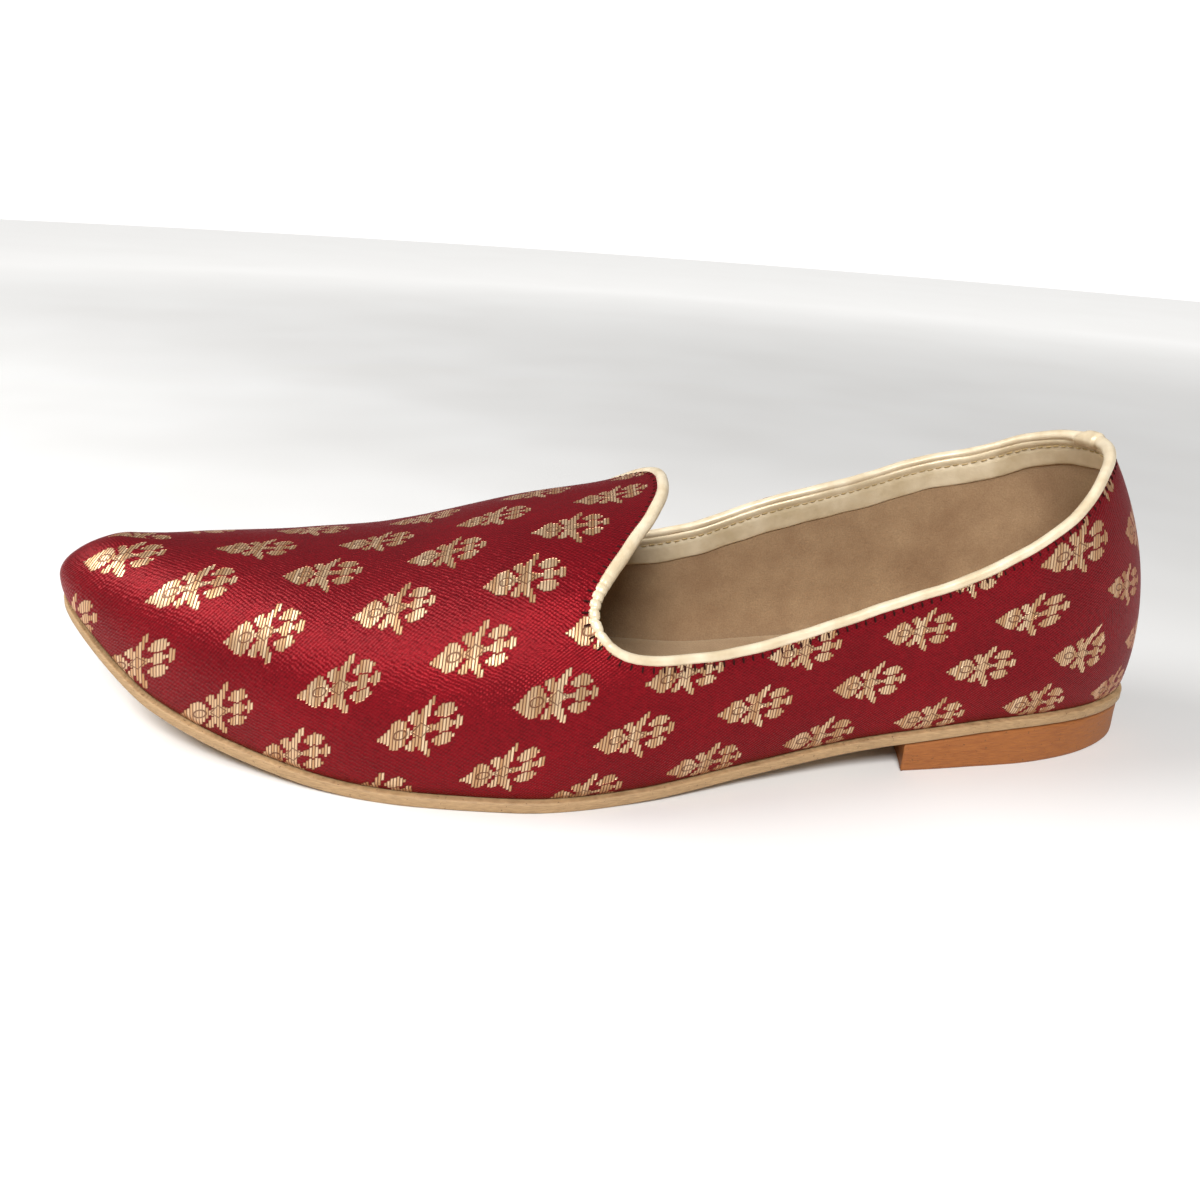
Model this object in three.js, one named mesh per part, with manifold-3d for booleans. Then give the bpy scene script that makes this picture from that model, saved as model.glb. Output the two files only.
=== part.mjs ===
// A mojari for the left foot: a flat slip-on shoe with a pointed toe that rises off the floor.
// +X runs from the heel to the toe, +Y to the outer side of the foot, and +Z up from the floor.

import * as THREE from 'three';
import { mergeVertices } from 'three/addons/utils/BufferGeometryUtils.js';
import Module from 'manifold-3d';

const wasm = await Module();
wasm.setup();

// Lengths and widths, in millimetres
const soleLength = 288;
const heelWidth = 65;
const waistWidth = 70;
const ballWidth = 101;
const toeWidth = 73;

// How far the underside of the sole stands off the floor at the heel and at the toe
const heelHeight = 10;
const toeSpring = 28;

// Heights of the upper above its seam with the sole
const lastHeight = 98;
const instepHeight = 62;
const toeBoxHeight = 39.5;
const tipHeight = 12.2;
const backHeight = 67;
const sideHeight = 32;
const innerSideLift = 10;

// Forms of the upper
const heelBulge = 3;
const ballBulge = 2;
const toeBulge = 0.8;
const quarterFlare = 2.3;
const counterHeight = 12;
const heelTuck = 1.1;
const heelLean = 19;
const toeRoll = 7;

// Thicknesses and edges
const wallThickness = 2.2;
const soleThickness = 2.6;
const soleExtension = 1;
const insoleThickness = 2;
const bindingRadius = 1.7;
const facingWidth = 7;
const facingThickness = 0.8;
const heelLength = 75;
const heelInset = 0.6;
const breastDepth = 4.5;
const clearance = 0.3;

// Fineness of the faceting
const stationCount = 40;
const tuckSteps = 2;
const archSteps = 9;
const toplineSteps = 90;
const bindingSides = 8;

// Half-widths of the seam with the sole, at shares of its length. Each row gives its shares of
// the width that it follows, before the outline is drawn in to round ends.
const outlineRows = [
  { at: 0.0, of: heelWidth, outer: 0.7, inner: 0.69 },
  { at: 0.06, of: heelWidth, outer: 0.702, inner: 0.748 },
  { at: 0.12, of: heelWidth, outer: 0.68, inner: 0.722 },
  { at: 0.2, of: heelWidth, outer: 0.629, inner: 0.628 },
  { at: 0.3, of: waistWidth, outer: 0.564, inner: 0.476 },
  { at: 0.4, of: waistWidth, outer: 0.617, inner: 0.466 },
  { at: 0.5, of: ballWidth, outer: 0.505, inner: 0.388 },
  { at: 0.6, of: ballWidth, outer: 0.561, inner: 0.455 },
  { at: 0.68, of: ballWidth, outer: 0.564, inner: 0.494 },
  { at: 0.76, of: ballWidth, outer: 0.541, inner: 0.509 },
  { at: 0.84, of: toeWidth, outer: 0.674, inner: 0.684 },
  { at: 0.9, of: toeWidth, outer: 0.608, inner: 0.634 },
  { at: 0.95, of: toeWidth, outer: 0.54, inner: 0.56 },
  { at: 1.0, of: toeWidth, outer: 0.48, inner: 0.52 },
];

// The underside of the sole, at shares of its length: seat, arch, level tread and toe spring
const soleLineRows = [
  { at: 0.0, of: heelHeight, lift: 1.01 },
  { at: 0.12, of: heelHeight, lift: 1.09 },
  { at: 0.26, of: heelHeight, lift: 0.79 },
  { at: 0.35, of: heelHeight, lift: 0.47 },
  { at: 0.45, of: heelHeight, lift: 0.14 },
  { at: 0.54, of: heelHeight, lift: 0 },
  { at: 0.72, of: toeSpring, lift: 0 },
  { at: 0.8, of: toeSpring, lift: 0.076 },
  { at: 0.9, of: toeSpring, lift: 0.303 },
  { at: 1.0, of: toeSpring, lift: 1 },
];

// The middle line over the top of the foot, closed above the collar as it is on the last
const ridgeRows = [
  { at: 0.0, of: lastHeight, rise: 1 },
  { at: 0.15, of: lastHeight, rise: 0.935 },
  { at: 0.3, of: lastHeight, rise: 0.85 },
  { at: 0.42, of: instepHeight, rise: 1.126 },
  { at: 0.5, of: instepHeight, rise: 0.963 },
  { at: 0.6, of: instepHeight, rise: 0.86 },
  { at: 0.7, of: toeBoxHeight, rise: 1.147 },
  { at: 0.8, of: toeBoxHeight, rise: 1 },
  { at: 0.9, of: toeBoxHeight, rise: 0.825 },
  { at: 0.96, of: tipHeight, rise: 1.86 },
  { at: 1.0, of: tipHeight, rise: 1 },
];

// The form of each cross-section: how high its widest level lies as a share of the ridge, how
// square its arch is, and how much the quarters flare on the outer and the inner side
const sectionRows = [
  { at: 0.0, belly: 0.146, squareness: 3, outerFlare: 0, innerFlare: 0 },
  { at: 0.1, belly: 0.152, squareness: 3, outerFlare: 0.25, innerFlare: 0.9 },
  { at: 0.2, belly: 0.158, squareness: 3, outerFlare: 0.55, innerFlare: 1 },
  { at: 0.35, belly: 0.168, squareness: 2.95, outerFlare: 0.15, innerFlare: 0.3 },
  { at: 0.5, belly: 0.23, squareness: 2.6, outerFlare: 0, innerFlare: 0 },
  { at: 0.65, belly: 0.3, squareness: 2.33, outerFlare: 0, innerFlare: 0 },
  { at: 1.0, belly: 0.35, squareness: 2.3, outerFlare: 0, innerFlare: 0 },
];

// The fullness of the sides beyond the seam
const bulgeRows = [
  { at: 0.0, of: heelBulge },
  { at: 0.3, of: heelBulge },
  { at: 0.65, of: ballBulge },
  { at: 1.0, of: toeBulge },
];

// The topline on the outer side, seen from the side, from the middle of the back to the throat
const toplineRows = [
  { at: 0.0, of: backHeight, height: 1 },
  { at: 0.02, of: backHeight, height: 0.98 },
  { at: 0.06, of: backHeight, height: 0.91 },
  { at: 0.12, of: backHeight, height: 0.773 },
  { at: 0.2, of: sideHeight, height: 1.325 },
  { at: 0.3, of: sideHeight, height: 1.116 },
  { at: 0.4, of: sideHeight, height: 0.984 },
  { at: 0.48, of: sideHeight, height: 0.99 },
];

// The throat, from its corner round to the tip of the tongue and past it. A rise of 0 is the
// side height and a rise of 1 the instep height.
const throatRows = [
  { at: 0.519, rise: 0.05 },
  { at: 0.542, rise: 0.22 },
  { at: 0.543, rise: 0.42 },
  { at: 0.517, rise: 0.67 },
  { at: 0.497, rise: 0.82 },
  { at: 0.476, rise: 0.97 },
  { at: 0.454, rise: 1.12 },
  { at: 0.43, rise: 1.3 },
];

// How much higher the topline runs on the inner side, as a share of the inner side lift
const liftRows = [
  { at: 0.0, lift: 0 },
  { at: 0.06, lift: 0 },
  { at: 0.2, lift: 0.75 },
  { at: 0.34, lift: 1 },
  { at: 0.44, lift: 0.5 },
  { at: 0.47, lift: 0 },
  { at: 1.0, lift: 0 },
];

// A smooth curve through [place, value] points that never overshoots them: each slope is the
// harmonic mean of its neighbours, and level where the values turn
function curveThrough(points) {
  const slopes = points.slice(1).map(([place, value], i) => (value - points[i][1]) / (place - points[i][0]));
  const tangents = points.map((_, i) => {
    const before = slopes[Math.max(i - 1, 0)];
    const after = slopes[Math.min(i, slopes.length - 1)];
    return before * after > 0 ? (2 * before * after) / (before + after) : 0;
  });
  return (place) => {
    const after = points.findIndex(([other]) => other > place);
    const i = after < 0 ? points.length - 2 : Math.max(after - 1, 0);
    const span = points[i + 1][0] - points[i][0];
    const u = (place - points[i][0]) / span;
    const fromStart = points[i][1] * (2 * u ** 3 - 3 * u ** 2 + 1) + span * tangents[i] * (u ** 3 - 2 * u ** 2 + u);
    const fromEnd = points[i + 1][1] * (3 * u ** 2 - 2 * u ** 3) + span * tangents[i + 1] * (u ** 3 - u ** 2);
    return fromStart + fromEnd;
  };
}

const columnCurve = (rows, column) => curveThrough(rows.map((row) => [row.at, row[column]]));
const sizedCurve = (rows, column) => curveThrough(rows.map((row) => [row.at, row.of * row[column]]));

const outerWidthAt = sizedCurve(outlineRows, 'outer');
const innerWidthAt = sizedCurve(outlineRows, 'inner');
const soleLineAt = sizedCurve(soleLineRows, 'lift');
const ridgeAt = sizedCurve(ridgeRows, 'rise');
const bellyAt = columnCurve(sectionRows, 'belly');
const squarenessAt = columnCurve(sectionRows, 'squareness');
const outerFlareAt = columnCurve(sectionRows, 'outerFlare');
const innerFlareAt = columnCurve(sectionRows, 'innerFlare');
const bulgeAt = curveThrough(bulgeRows.map((row) => [row.at, row.of]));
const innerLiftAt = columnCurve(liftRows, 'lift');

const OUTER = 1;
const INNER = -1;
const upperLength = soleLength - 2 * soleExtension;
const seamX = (at) => soleExtension + upperLength * at;
const soleBottom = (x) => soleLineAt(x / soleLength);
const soleTop = (x) => soleBottom(x) + soleThickness;
const seamZ = (at) => soleTop(seamX(at)) + clearance;

// Draws a width in to round ends at the heel and the toe: 0 at both ends and 1 in the middle
const roundEnds = (at) => Math.sqrt(4 * at * (1 - at));
const seamHalfWidth = (at, side) => (side === OUTER ? outerWidthAt(at) : innerWidthAt(at)) * roundEnds(at);

// Shares of the length that lie close together at the rounded ends and wide apart between them
const stations = (count) => Array.from({ length: count + 1 }, (_, i) => (1 - Math.cos((Math.PI * i) / count)) / 2);

// The surface of the upper at a share of the length and a height above the seam, on one side.
// An inset moves it inwards, by the wall or by what lies against the wall. Below the belly the
// side tucks in to the seam, above it the side is a superellipse, and the back of the heel and
// the nose of the toe lean along X.
function surfacePoint(at, height, side, inset) {
  const top = ridgeAt(at) - inset;
  const belly = bellyAt(at) * ridgeAt(at);
  const squareness = squarenessAt(at);
  const rounding = roundEnds(at);
  const climb = THREE.MathUtils.clamp((height - belly) / (top - belly), 0, 1);
  const tuck = THREE.MathUtils.clamp(height / belly, 0, 1);
  const flareShare = side === OUTER ? outerFlareAt(at) : innerFlareAt(at);
  const spread = Math.min(Math.max(height - belly, 0) / sideHeight, 1.3) ** 2;
  const fullness = bulgeAt(at) * rounding * (1 - (1 - tuck) ** 2) + quarterFlare * flareShare * spread;
  const across = (seamHalfWidth(at, side) - inset * rounding + fullness) * (1 - climb ** squareness) ** (1 / squareness);

  const aboveCounter = Math.min(height, backHeight * 1.1) - counterHeight;
  const heelShift = aboveCounter < 0
    ? heelTuck * ((aboveCounter / counterHeight) ** 2 - 1)
    : heelLean * (aboveCounter / (backHeight - counterHeight)) ** 2 - heelTuck;
  const heelShare = Math.max(1 - at / 0.25, 0);
  const noseShare = Math.max((at - 0.85) / 0.15, 0) ** 2;
  const x = seamX(at) + inset * (1 - 2 * at) + heelShift * heelShare - toeRoll * climb ** 2 * noseShare;
  return new THREE.Vector3(x, side * across, seamZ(at) + height);
}

// A closed surface over rings of equal counts, from the heel to the toe. The first and the last
// ring are flat, with both their sides on one line, so the surface closes there by itself.
function closedSkin(rings) {
  const count = rings[0].length;
  const positions = rings.flat().flatMap((point) => [point.x, point.y, point.z]);
  const triangles = [];
  for (let i = 0; i < rings.length - 1; i++) {
    for (let j = 0; j < count; j++) {
      const here = i * count + j;
      const next = i * count + ((j + 1) % count);
      triangles.push(here, next, next + count, here, next + count, here + count);
    }
  }
  const geometry = new THREE.BufferGeometry();
  geometry.setAttribute('position', new THREE.Float32BufferAttribute(positions, 3));
  geometry.setIndex(triangles);
  return geometry;
}

// Merges shared corners, drops the triangles that this closes up, and makes a solid of the rest
function solidFrom(geometry) {
  geometry.deleteAttribute('normal');
  geometry.deleteAttribute('uv');
  const merged = mergeVertices(geometry, 1e-4);
  const corners = Array.from(merged.index.array);
  const kept = [];
  for (let i = 0; i < corners.length; i += 3) {
    const [a, b, c] = corners.slice(i, i + 3);
    if (a !== b && b !== c && c !== a) kept.push(a, b, c);
  }
  const mesh = new wasm.Mesh({
    numProp: 3,
    vertProperties: new Float32Array(merged.attributes.position.array),
    triVerts: new Uint32Array(kept),
  });
  return new wasm.Manifold(mesh);
}

// The heights at which one side of a cross-section has its corners, from the seam to the ridge
function sectionHeights(at, inset, drop) {
  const belly = bellyAt(at) * ridgeAt(at);
  const squareness = squarenessAt(at);
  const tucked = Array.from({ length: tuckSteps }, (_, i) => (i === 0 ? -drop : (belly * i) / tuckSteps));
  const arched = Array.from({ length: archSteps + 1 }, (_, i) => {
    const angle = (Math.PI * i) / (2 * archSteps);
    const radius = (Math.cos(angle) ** squareness + Math.sin(angle) ** squareness) ** (-1 / squareness);
    return belly + (ridgeAt(at) - inset - belly) * radius * Math.sin(angle);
  });
  return [...tucked, ...arched];
}

// The closed body of the foot form inside the surface at an inset, drawn down below the seam
function formBody(inset, drop) {
  const rings = stations(stationCount).map((at) => {
    const heights = sectionHeights(at, inset, drop);
    const outer = heights.map((height) => surfacePoint(at, height, OUTER, inset));
    const inner = heights.map((height) => surfacePoint(at, height, INNER, inset));
    return [...outer, ...inner.reverse().slice(1)];
  });
  return solidFrom(closedSkin(rings));
}

// A point of the seam's outline in plan, moved outwards by an offset
function outlinePoint(step, side, offset) {
  const place = (turn) => {
    const at = (1 - Math.cos(turn)) / 2;
    return new THREE.Vector2(seamX(at), side * seamHalfWidth(at, side));
  };
  const turn = Math.PI * step;
  const nudge = 0.01;
  const along = place(Math.min(turn + nudge, Math.PI)).sub(place(Math.max(turn - nudge, 0))).normalize();
  const outwards = new THREE.Vector2(-along.y, along.x).multiplyScalar(side * offset);
  if (step === 0) return new THREE.Vector2(seamX(0) - offset, 0);
  if (step === 1) return new THREE.Vector2(seamX(1) + offset, 0);
  return place(turn).add(outwards);
}

// A plate that follows the outline at an offset, between two surfaces given as heights along X
function plateBody(offset, bottomZ, topZ) {
  const rings = Array.from({ length: stationCount + 1 }, (_, i) => {
    const outer = outlinePoint(i / stationCount, OUTER, offset);
    const inner = outlinePoint(i / stationCount, INNER, offset);
    return [
      new THREE.Vector3(outer.x, outer.y, bottomZ(outer.x)),
      new THREE.Vector3(outer.x, outer.y, topZ(outer.x)),
      new THREE.Vector3(inner.x, inner.y, topZ(inner.x)),
      new THREE.Vector3(inner.x, inner.y, bottomZ(inner.x)),
    ];
  });
  return solidFrom(closedSkin(rings));
}

// The topline on one side as shares of the length and heights above the seam, close together
// at the tongue, where the surface turns over the ridge
function toplineShares(side, count) {
  const rise = (share) => sideHeight + share * (instepHeight - sideHeight);
  const knots = [
    ...toplineRows.map((row) => new THREE.Vector2(row.at * upperLength, row.of * row.height)),
    ...throatRows.map((row) => new THREE.Vector2(row.at * upperLength, rise(row.rise))),
  ];
  const curve = new THREE.SplineCurve(knots);
  curve.arcLengthDivisions = 800;
  return Array.from({ length: count + 1 }, (_, i) => {
    const point = curve.getPointAt(i / count);
    const at = point.x / upperLength;
    const lift = side === INNER ? innerSideLift * innerLiftAt(at) : 0;
    return { at, height: point.y + lift };
  });
}

// The topline on one side, on the surface at an inset, up to where it meets the ridge
function toplinePath(side, inset) {
  const shares = toplineShares(side, 1200);
  const meets = shares.findIndex(({ at, height }) => height >= ridgeAt(at) - inset);
  return shares.slice(0, meets + 1).map(({ at, height }) => surfacePoint(at, height, side, inset));
}

// The middle line of the binding, from the middle of the back round the collar and back to it
function bindingCurve() {
  const outer = toplinePath(OUTER, wallThickness / 2);
  const inner = toplinePath(INNER, wallThickness / 2);
  const loop = new THREE.CatmullRomCurve3([...outer, ...inner.reverse().slice(1)], false, 'chordal');
  loop.arcLengthDivisions = 4000;
  const joint = clearance / 2 / loop.getLength();
  const knots = Array.from({ length: toplineSteps + 1 }, (_, i) => {
    return loop.getPointAt(joint + ((1 - 2 * joint) * i) / toplineSteps);
  });
  return new THREE.CatmullRomCurve3(knots, false, 'chordal');
}

// A round cord along the topline
function cordBody(radius) {
  const section = new THREE.Shape(
    Array.from({ length: bindingSides }, (_, i) => {
      const angle = (2 * Math.PI * i) / bindingSides;
      return new THREE.Vector2(radius * Math.cos(angle), radius * Math.sin(angle));
    }),
  );
  const options = { steps: toplineSteps, extrudePath: bindingCurve(), bevelEnabled: false };
  return solidFrom(new THREE.ExtrudeGeometry(section, options));
}

// A block with the given side view, over one half of the shoe's width and just past its middle
function sideBlock(outline, side) {
  const reach = ballWidth;
  const overlap = 1;
  const geometry = new THREE.ExtrudeGeometry(new THREE.Shape(outline), { depth: reach, bevelEnabled: false });
  geometry.rotateX(Math.PI / 2);
  geometry.translate(0, side === OUTER ? reach - overlap : overlap, 0);
  return solidFrom(geometry);
}

// The topline on one side in side view, as points of X and Z
function toplineView(side) {
  return toplineShares(side, toplineSteps).map(({ at, height }) => {
    const point = surfacePoint(at, height, side, 0);
    return new THREE.Vector2(point.x, point.z);
  });
}

// Everything above the topline on one side
function openingBlock(side) {
  const line = toplineView(side);
  const behind = -heelWidth;
  const above = heelHeight + 2 * lastHeight;
  const start = new THREE.Vector2(behind, line[0].y);
  const roof = [new THREE.Vector2(line.at(-1).x, above), new THREE.Vector2(behind, above)];
  return sideBlock([start, ...line, ...roof], side);
}

// The band of the facing on one side, from just below the binding down by the facing's width
function facingBlock(side) {
  const line = toplineView(side);
  const below = (distance) => line.map((point, i) => {
    const before = line[Math.max(i - 1, 0)];
    const after = line[Math.min(i + 1, line.length - 1)];
    const along = after.clone().sub(before).normalize();
    return new THREE.Vector2(point.x + along.y * distance, point.y - along.x * distance);
  });
  const upper = below(bindingRadius + clearance);
  const lower = below(bindingRadius + clearance + facingWidth);
  const behind = -heelWidth;
  const start = new THREE.Vector2(behind, upper[0].y);
  const end = new THREE.Vector2(behind, lower[0].y);
  return sideBlock([start, ...upper, ...lower.reverse(), end], side);
}

// The largest piece of a cut solid, without the offcuts that fall away at the tip of the tongue
function largestPiece(solid) {
  return solid.decompose().reduce((best, piece) => (piece.volume() > best.volume() ? piece : best));
}

// The wall of the upper, open at the collar and underneath
function upperBody() {
  const wall = formBody(0, 0).subtract(formBody(wallThickness, wallThickness));
  const opened = wall.subtract(openingBlock(OUTER)).subtract(openingBlock(INNER));
  return largestPiece(opened.subtract(cordBody(bindingRadius + clearance)));
}

// The strip that faces the collar inside, below the binding
function facingBody() {
  const nearWall = wallThickness + clearance;
  const strip = formBody(nearWall, 0).subtract(formBody(nearWall + facingThickness, facingThickness));
  return largestPiece(strip.intersect(facingBlock(OUTER).add(facingBlock(INNER))));
}

// The heel block, with a breast that is hollow in plan
function heelBody() {
  const offset = soleExtension - heelInset;
  const steps = Array.from({ length: stationCount + 1 }, (_, i) => i / stationCount);
  const edge = (side) => steps.map((step) => outlinePoint(step, side, offset)).filter((point) => point.x < heelLength);
  const outer = edge(OUTER);
  const inner = edge(INNER);
  const plan = new THREE.Shape();
  plan.moveTo(heelLength, inner.at(-1).y);
  inner.reverse().forEach((point) => plan.lineTo(point.x, point.y));
  outer.slice(1).forEach((point) => plan.lineTo(point.x, point.y));
  plan.lineTo(heelLength, outer.at(-1).y);
  plan.quadraticCurveTo(heelLength - 2 * breastDepth, (outer.at(-1).y + inner[0].y) / 2, heelLength, inner[0].y);
  const options = { depth: 2 * heelHeight, bevelEnabled: false, curveSegments: 12 };
  const block = solidFrom(new THREE.ExtrudeGeometry(plan, options));
  const aboveHeel = plateBody(2 * clearance + soleExtension, (x) => soleBottom(x) - clearance, () => 3 * heelHeight);
  return block.subtract(aboveHeel);
}

const outsoleBody = () => plateBody(soleExtension, soleBottom, soleTop);

// The insole lies on the outsole, inside the wall
function insoleBody() {
  const bottom = (x) => soleTop(x) + clearance;
  return plateBody(-wallThickness - clearance, bottom, (x) => bottom(x) + insoleThickness);
}

const materials = {
  brocade: new THREE.MeshStandardMaterial({ color: 0xa8202f, roughness: 0.75, metalness: 0 }),
  binding: new THREE.MeshStandardMaterial({ color: 0xf0e4c8, roughness: 0.6, metalness: 0 }),
  facing: new THREE.MeshStandardMaterial({ color: 0xe2d2ae, roughness: 0.7, metalness: 0 }),
  insole: new THREE.MeshStandardMaterial({ color: 0xb09a78, roughness: 0.85, metalness: 0 }),
  outsole: new THREE.MeshStandardMaterial({ color: 0xb8935f, roughness: 0.7, metalness: 0 }),
  heel: new THREE.MeshStandardMaterial({ color: 0xb87440, roughness: 0.75, metalness: 0 }),
};

function namedMesh(name, solid, material) {
  const { vertProperties, triVerts } = solid.getMesh();
  const geometry = new THREE.BufferGeometry();
  geometry.setAttribute('position', new THREE.BufferAttribute(vertProperties, 3));
  geometry.setIndex(new THREE.BufferAttribute(triVerts, 1));
  geometry.computeVertexNormals();
  const mesh = new THREE.Mesh(geometry, material);
  mesh.name = name;
  return mesh;
}

const shoe = new THREE.Group();
shoe.add(
  namedMesh('upper', upperBody(), materials.brocade),
  namedMesh('topline_binding', cordBody(bindingRadius), materials.binding),
  namedMesh('collar_facing', facingBody(), materials.facing),
  namedMesh('insole', insoleBody(), materials.insole),
  namedMesh('outsole', outsoleBody(), materials.outsole),
  namedMesh('heel_block', heelBody(), materials.heel),
);

// The shoe stands on the floor with the middle of its plan over the origin
const extent = new THREE.Box3().setFromObject(shoe);
const middle = extent.getCenter(new THREE.Vector3());
shoe.position.set(-middle.x, -middle.y, 0);

export default shoe;
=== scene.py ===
import math
from functools import partial

import bpy
import numpy as np
from mathutils import Matrix, Vector


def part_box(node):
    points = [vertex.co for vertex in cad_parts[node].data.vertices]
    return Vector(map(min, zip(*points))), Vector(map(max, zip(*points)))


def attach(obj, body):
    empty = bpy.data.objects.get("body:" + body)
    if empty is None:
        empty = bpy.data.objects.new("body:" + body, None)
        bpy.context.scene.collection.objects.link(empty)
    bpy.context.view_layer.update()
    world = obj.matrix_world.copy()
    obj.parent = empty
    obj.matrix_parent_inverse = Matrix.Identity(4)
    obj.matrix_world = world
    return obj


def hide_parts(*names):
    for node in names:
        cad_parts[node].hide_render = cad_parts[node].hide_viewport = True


# A mojari for the left foot. Shapes are computed in millimetres in the shoe's own axes: X from
# the back of the sole to the toe, Y to the outer side, Z up from the floor.

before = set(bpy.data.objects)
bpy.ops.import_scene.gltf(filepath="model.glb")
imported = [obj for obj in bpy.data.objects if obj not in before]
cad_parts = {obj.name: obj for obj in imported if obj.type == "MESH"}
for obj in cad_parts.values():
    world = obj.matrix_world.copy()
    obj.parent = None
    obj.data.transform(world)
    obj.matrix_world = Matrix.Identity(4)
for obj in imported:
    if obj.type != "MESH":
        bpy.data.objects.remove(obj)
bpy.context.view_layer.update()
mm = 0.001
outerSide, innerSide = 1, -1

shoe = {
    "soleLength": 288, "soleExtension": 1, "soleThickness": 2.6, "clearance": 0.3, "wall": 2.2,
    "sideHeight": 32, "backHeight": 67, "innerSideLift": 10, "quarterFlare": 2.3, "counterHeight": 12,
    "heelTo": 0.25, "heelTuck": 1.1, "heelLean": 19, "toeRoll": 7, "noseFrom": 0.85, "noseSwell": 0.7,
    "soleTipSetBack": 1, "heelLength": 75, "breastDepth": 4.5, "heelInset": 0.6, "insoleThickness": 2,
    "facingWidth": 7, "seamNotch": 0.8, "seamNotchHeight": 0.9,
}
# share of the length, outer and inner half-width of the seam before its ends are rounded
outlineRows = [
    (0.0, 45.5, 44.9), (0.06, 45.6, 48.6), (0.12, 44.2, 46.9), (0.2, 40.9, 40.8), (0.3, 39.5, 33.3),
    (0.4, 43.2, 32.6), (0.5, 51.0, 39.2), (0.6, 56.7, 46.0), (0.68, 57.0, 49.9), (0.76, 54.6, 51.4),
    (0.84, 49.2, 49.9), (0.9, 44.4, 46.3), (0.95, 39.4, 40.9), (1.0, 35.0, 38.0),
]
# share of the length, underside of the sole above the floor
soleRows = [
    (0.0, 10.1), (0.12, 10.9), (0.26, 7.9), (0.35, 4.7), (0.45, 1.4), (0.54, 0.0), (0.72, 0.0),
    (0.8, 2.13), (0.9, 8.48), (1.0, 28.0),
]
# share of the length, ridge over the foot above the seam
ridgeRows = [
    (0.0, 98.0), (0.15, 91.6), (0.3, 83.3), (0.42, 69.8), (0.5, 59.7), (0.6, 53.3), (0.7, 45.3),
    (0.8, 39.5), (0.9, 32.6), (0.96, 22.7), (1.0, 12.2),
]
# share of the length, belly as a share of the ridge, squareness, outer and inner flare
sectionRows = [
    (0.0, 0.146, 3.0, 0.0, 0.0), (0.1, 0.152, 3.0, 0.25, 0.9), (0.2, 0.158, 3.0, 0.55, 1.0),
    (0.35, 0.168, 2.95, 0.15, 0.3), (0.5, 0.23, 2.6, 0.0, 0.0), (0.65, 0.3, 2.33, 0.0, 0.0),
    (1.0, 0.35, 2.3, 0.0, 0.0),
]
# share of the length, how far the belly stands out beyond the seam
bulgeRows = [(0.0, 3.0), (0.3, 3.0), (0.65, 2.0), (1.0, 0.8)]
# share of the length, height of the topline above the seam on the outer side
toplineRows = [
    (0.0, 67.0), (0.02, 65.7), (0.06, 61.0), (0.12, 51.8), (0.2, 42.4), (0.3, 35.7), (0.4, 31.5),
    (0.48, 31.7), (0.519, 33.5), (0.542, 38.6), (0.543, 44.6), (0.517, 52.1), (0.497, 56.6),
    (0.476, 61.1), (0.454, 65.6), (0.43, 71.0),
]
# share of the length, share of the inner side's extra height
liftRows = [
    (0.0, 0.0), (0.06, 0.0), (0.2, 0.75), (0.33, 0.98), (0.42, 0.6), (0.48, 0.2), (0.53, 0.0), (1.0, 0.0),
]
# ahead of a share of the length, that height also fades out below the tongue, over these heights
liftFade = {"from": 0.4, "top": 46, "over": 12}
# points along the topline: for the collar, and for clipping the skins
toplineSteps = {"fine": 1600, "clip": 160}


# A curve through the rows that never overshoots: cubic pieces whose slope at each row is the
# harmonic mean of the slopes beside it, or level at a turn
def curve(rows, column=1):
    places = np.array([row[0] for row in rows], float)
    values = np.array([row[column] for row in rows], float)
    slopes = np.diff(values) / np.diff(places)
    before, after = np.r_[slopes[0], slopes], np.r_[slopes, slopes[-1]]
    agree = before * after > 0
    tangents = np.where(agree, 2 * before * after / np.where(agree, before + after, 1), 0)

    def value(place):
        place = np.asarray(place, float)
        i = np.clip(np.searchsorted(places, place, side="right") - 1, 0, len(places) - 2)
        span = places[i + 1] - places[i]
        u = (place - places[i]) / span
        start = values[i] * (2 * u**3 - 3 * u**2 + 1) + span * tangents[i] * (u**3 - 2 * u**2 + u)
        end = values[i + 1] * (3 * u**2 - 2 * u**3) + span * tangents[i + 1] * (u**3 - u**2)
        return start + end

    return value


outerWidth, innerWidth = curve(outlineRows, 1), curve(outlineRows, 2)
soleLine, ridge, bulge, innerLift = curve(soleRows), curve(ridgeRows), curve(bulgeRows), curve(liftRows)
bellyShare, squareness = curve(sectionRows, 1), curve(sectionRows, 2)
outerFlare, innerFlare = curve(sectionRows, 3), curve(sectionRows, 4)


def roundEnds(at):
    return np.sqrt(np.clip(4 * at * (1 - at), 0, None))


def seamX(at):
    return shoe["soleExtension"] + (shoe["soleLength"] - 2 * shoe["soleExtension"]) * at


def soleBottom(x):
    return soleLine(x / shoe["soleLength"])


def soleTop(x):
    return soleBottom(x) + shoe["soleThickness"]


def seamZ(at):
    return soleTop(seamX(at)) + shoe["clearance"]


def seamHalfWidth(at, side):
    return np.where(side > 0, outerWidth(at), innerWidth(at)) * roundEnds(at)


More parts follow.
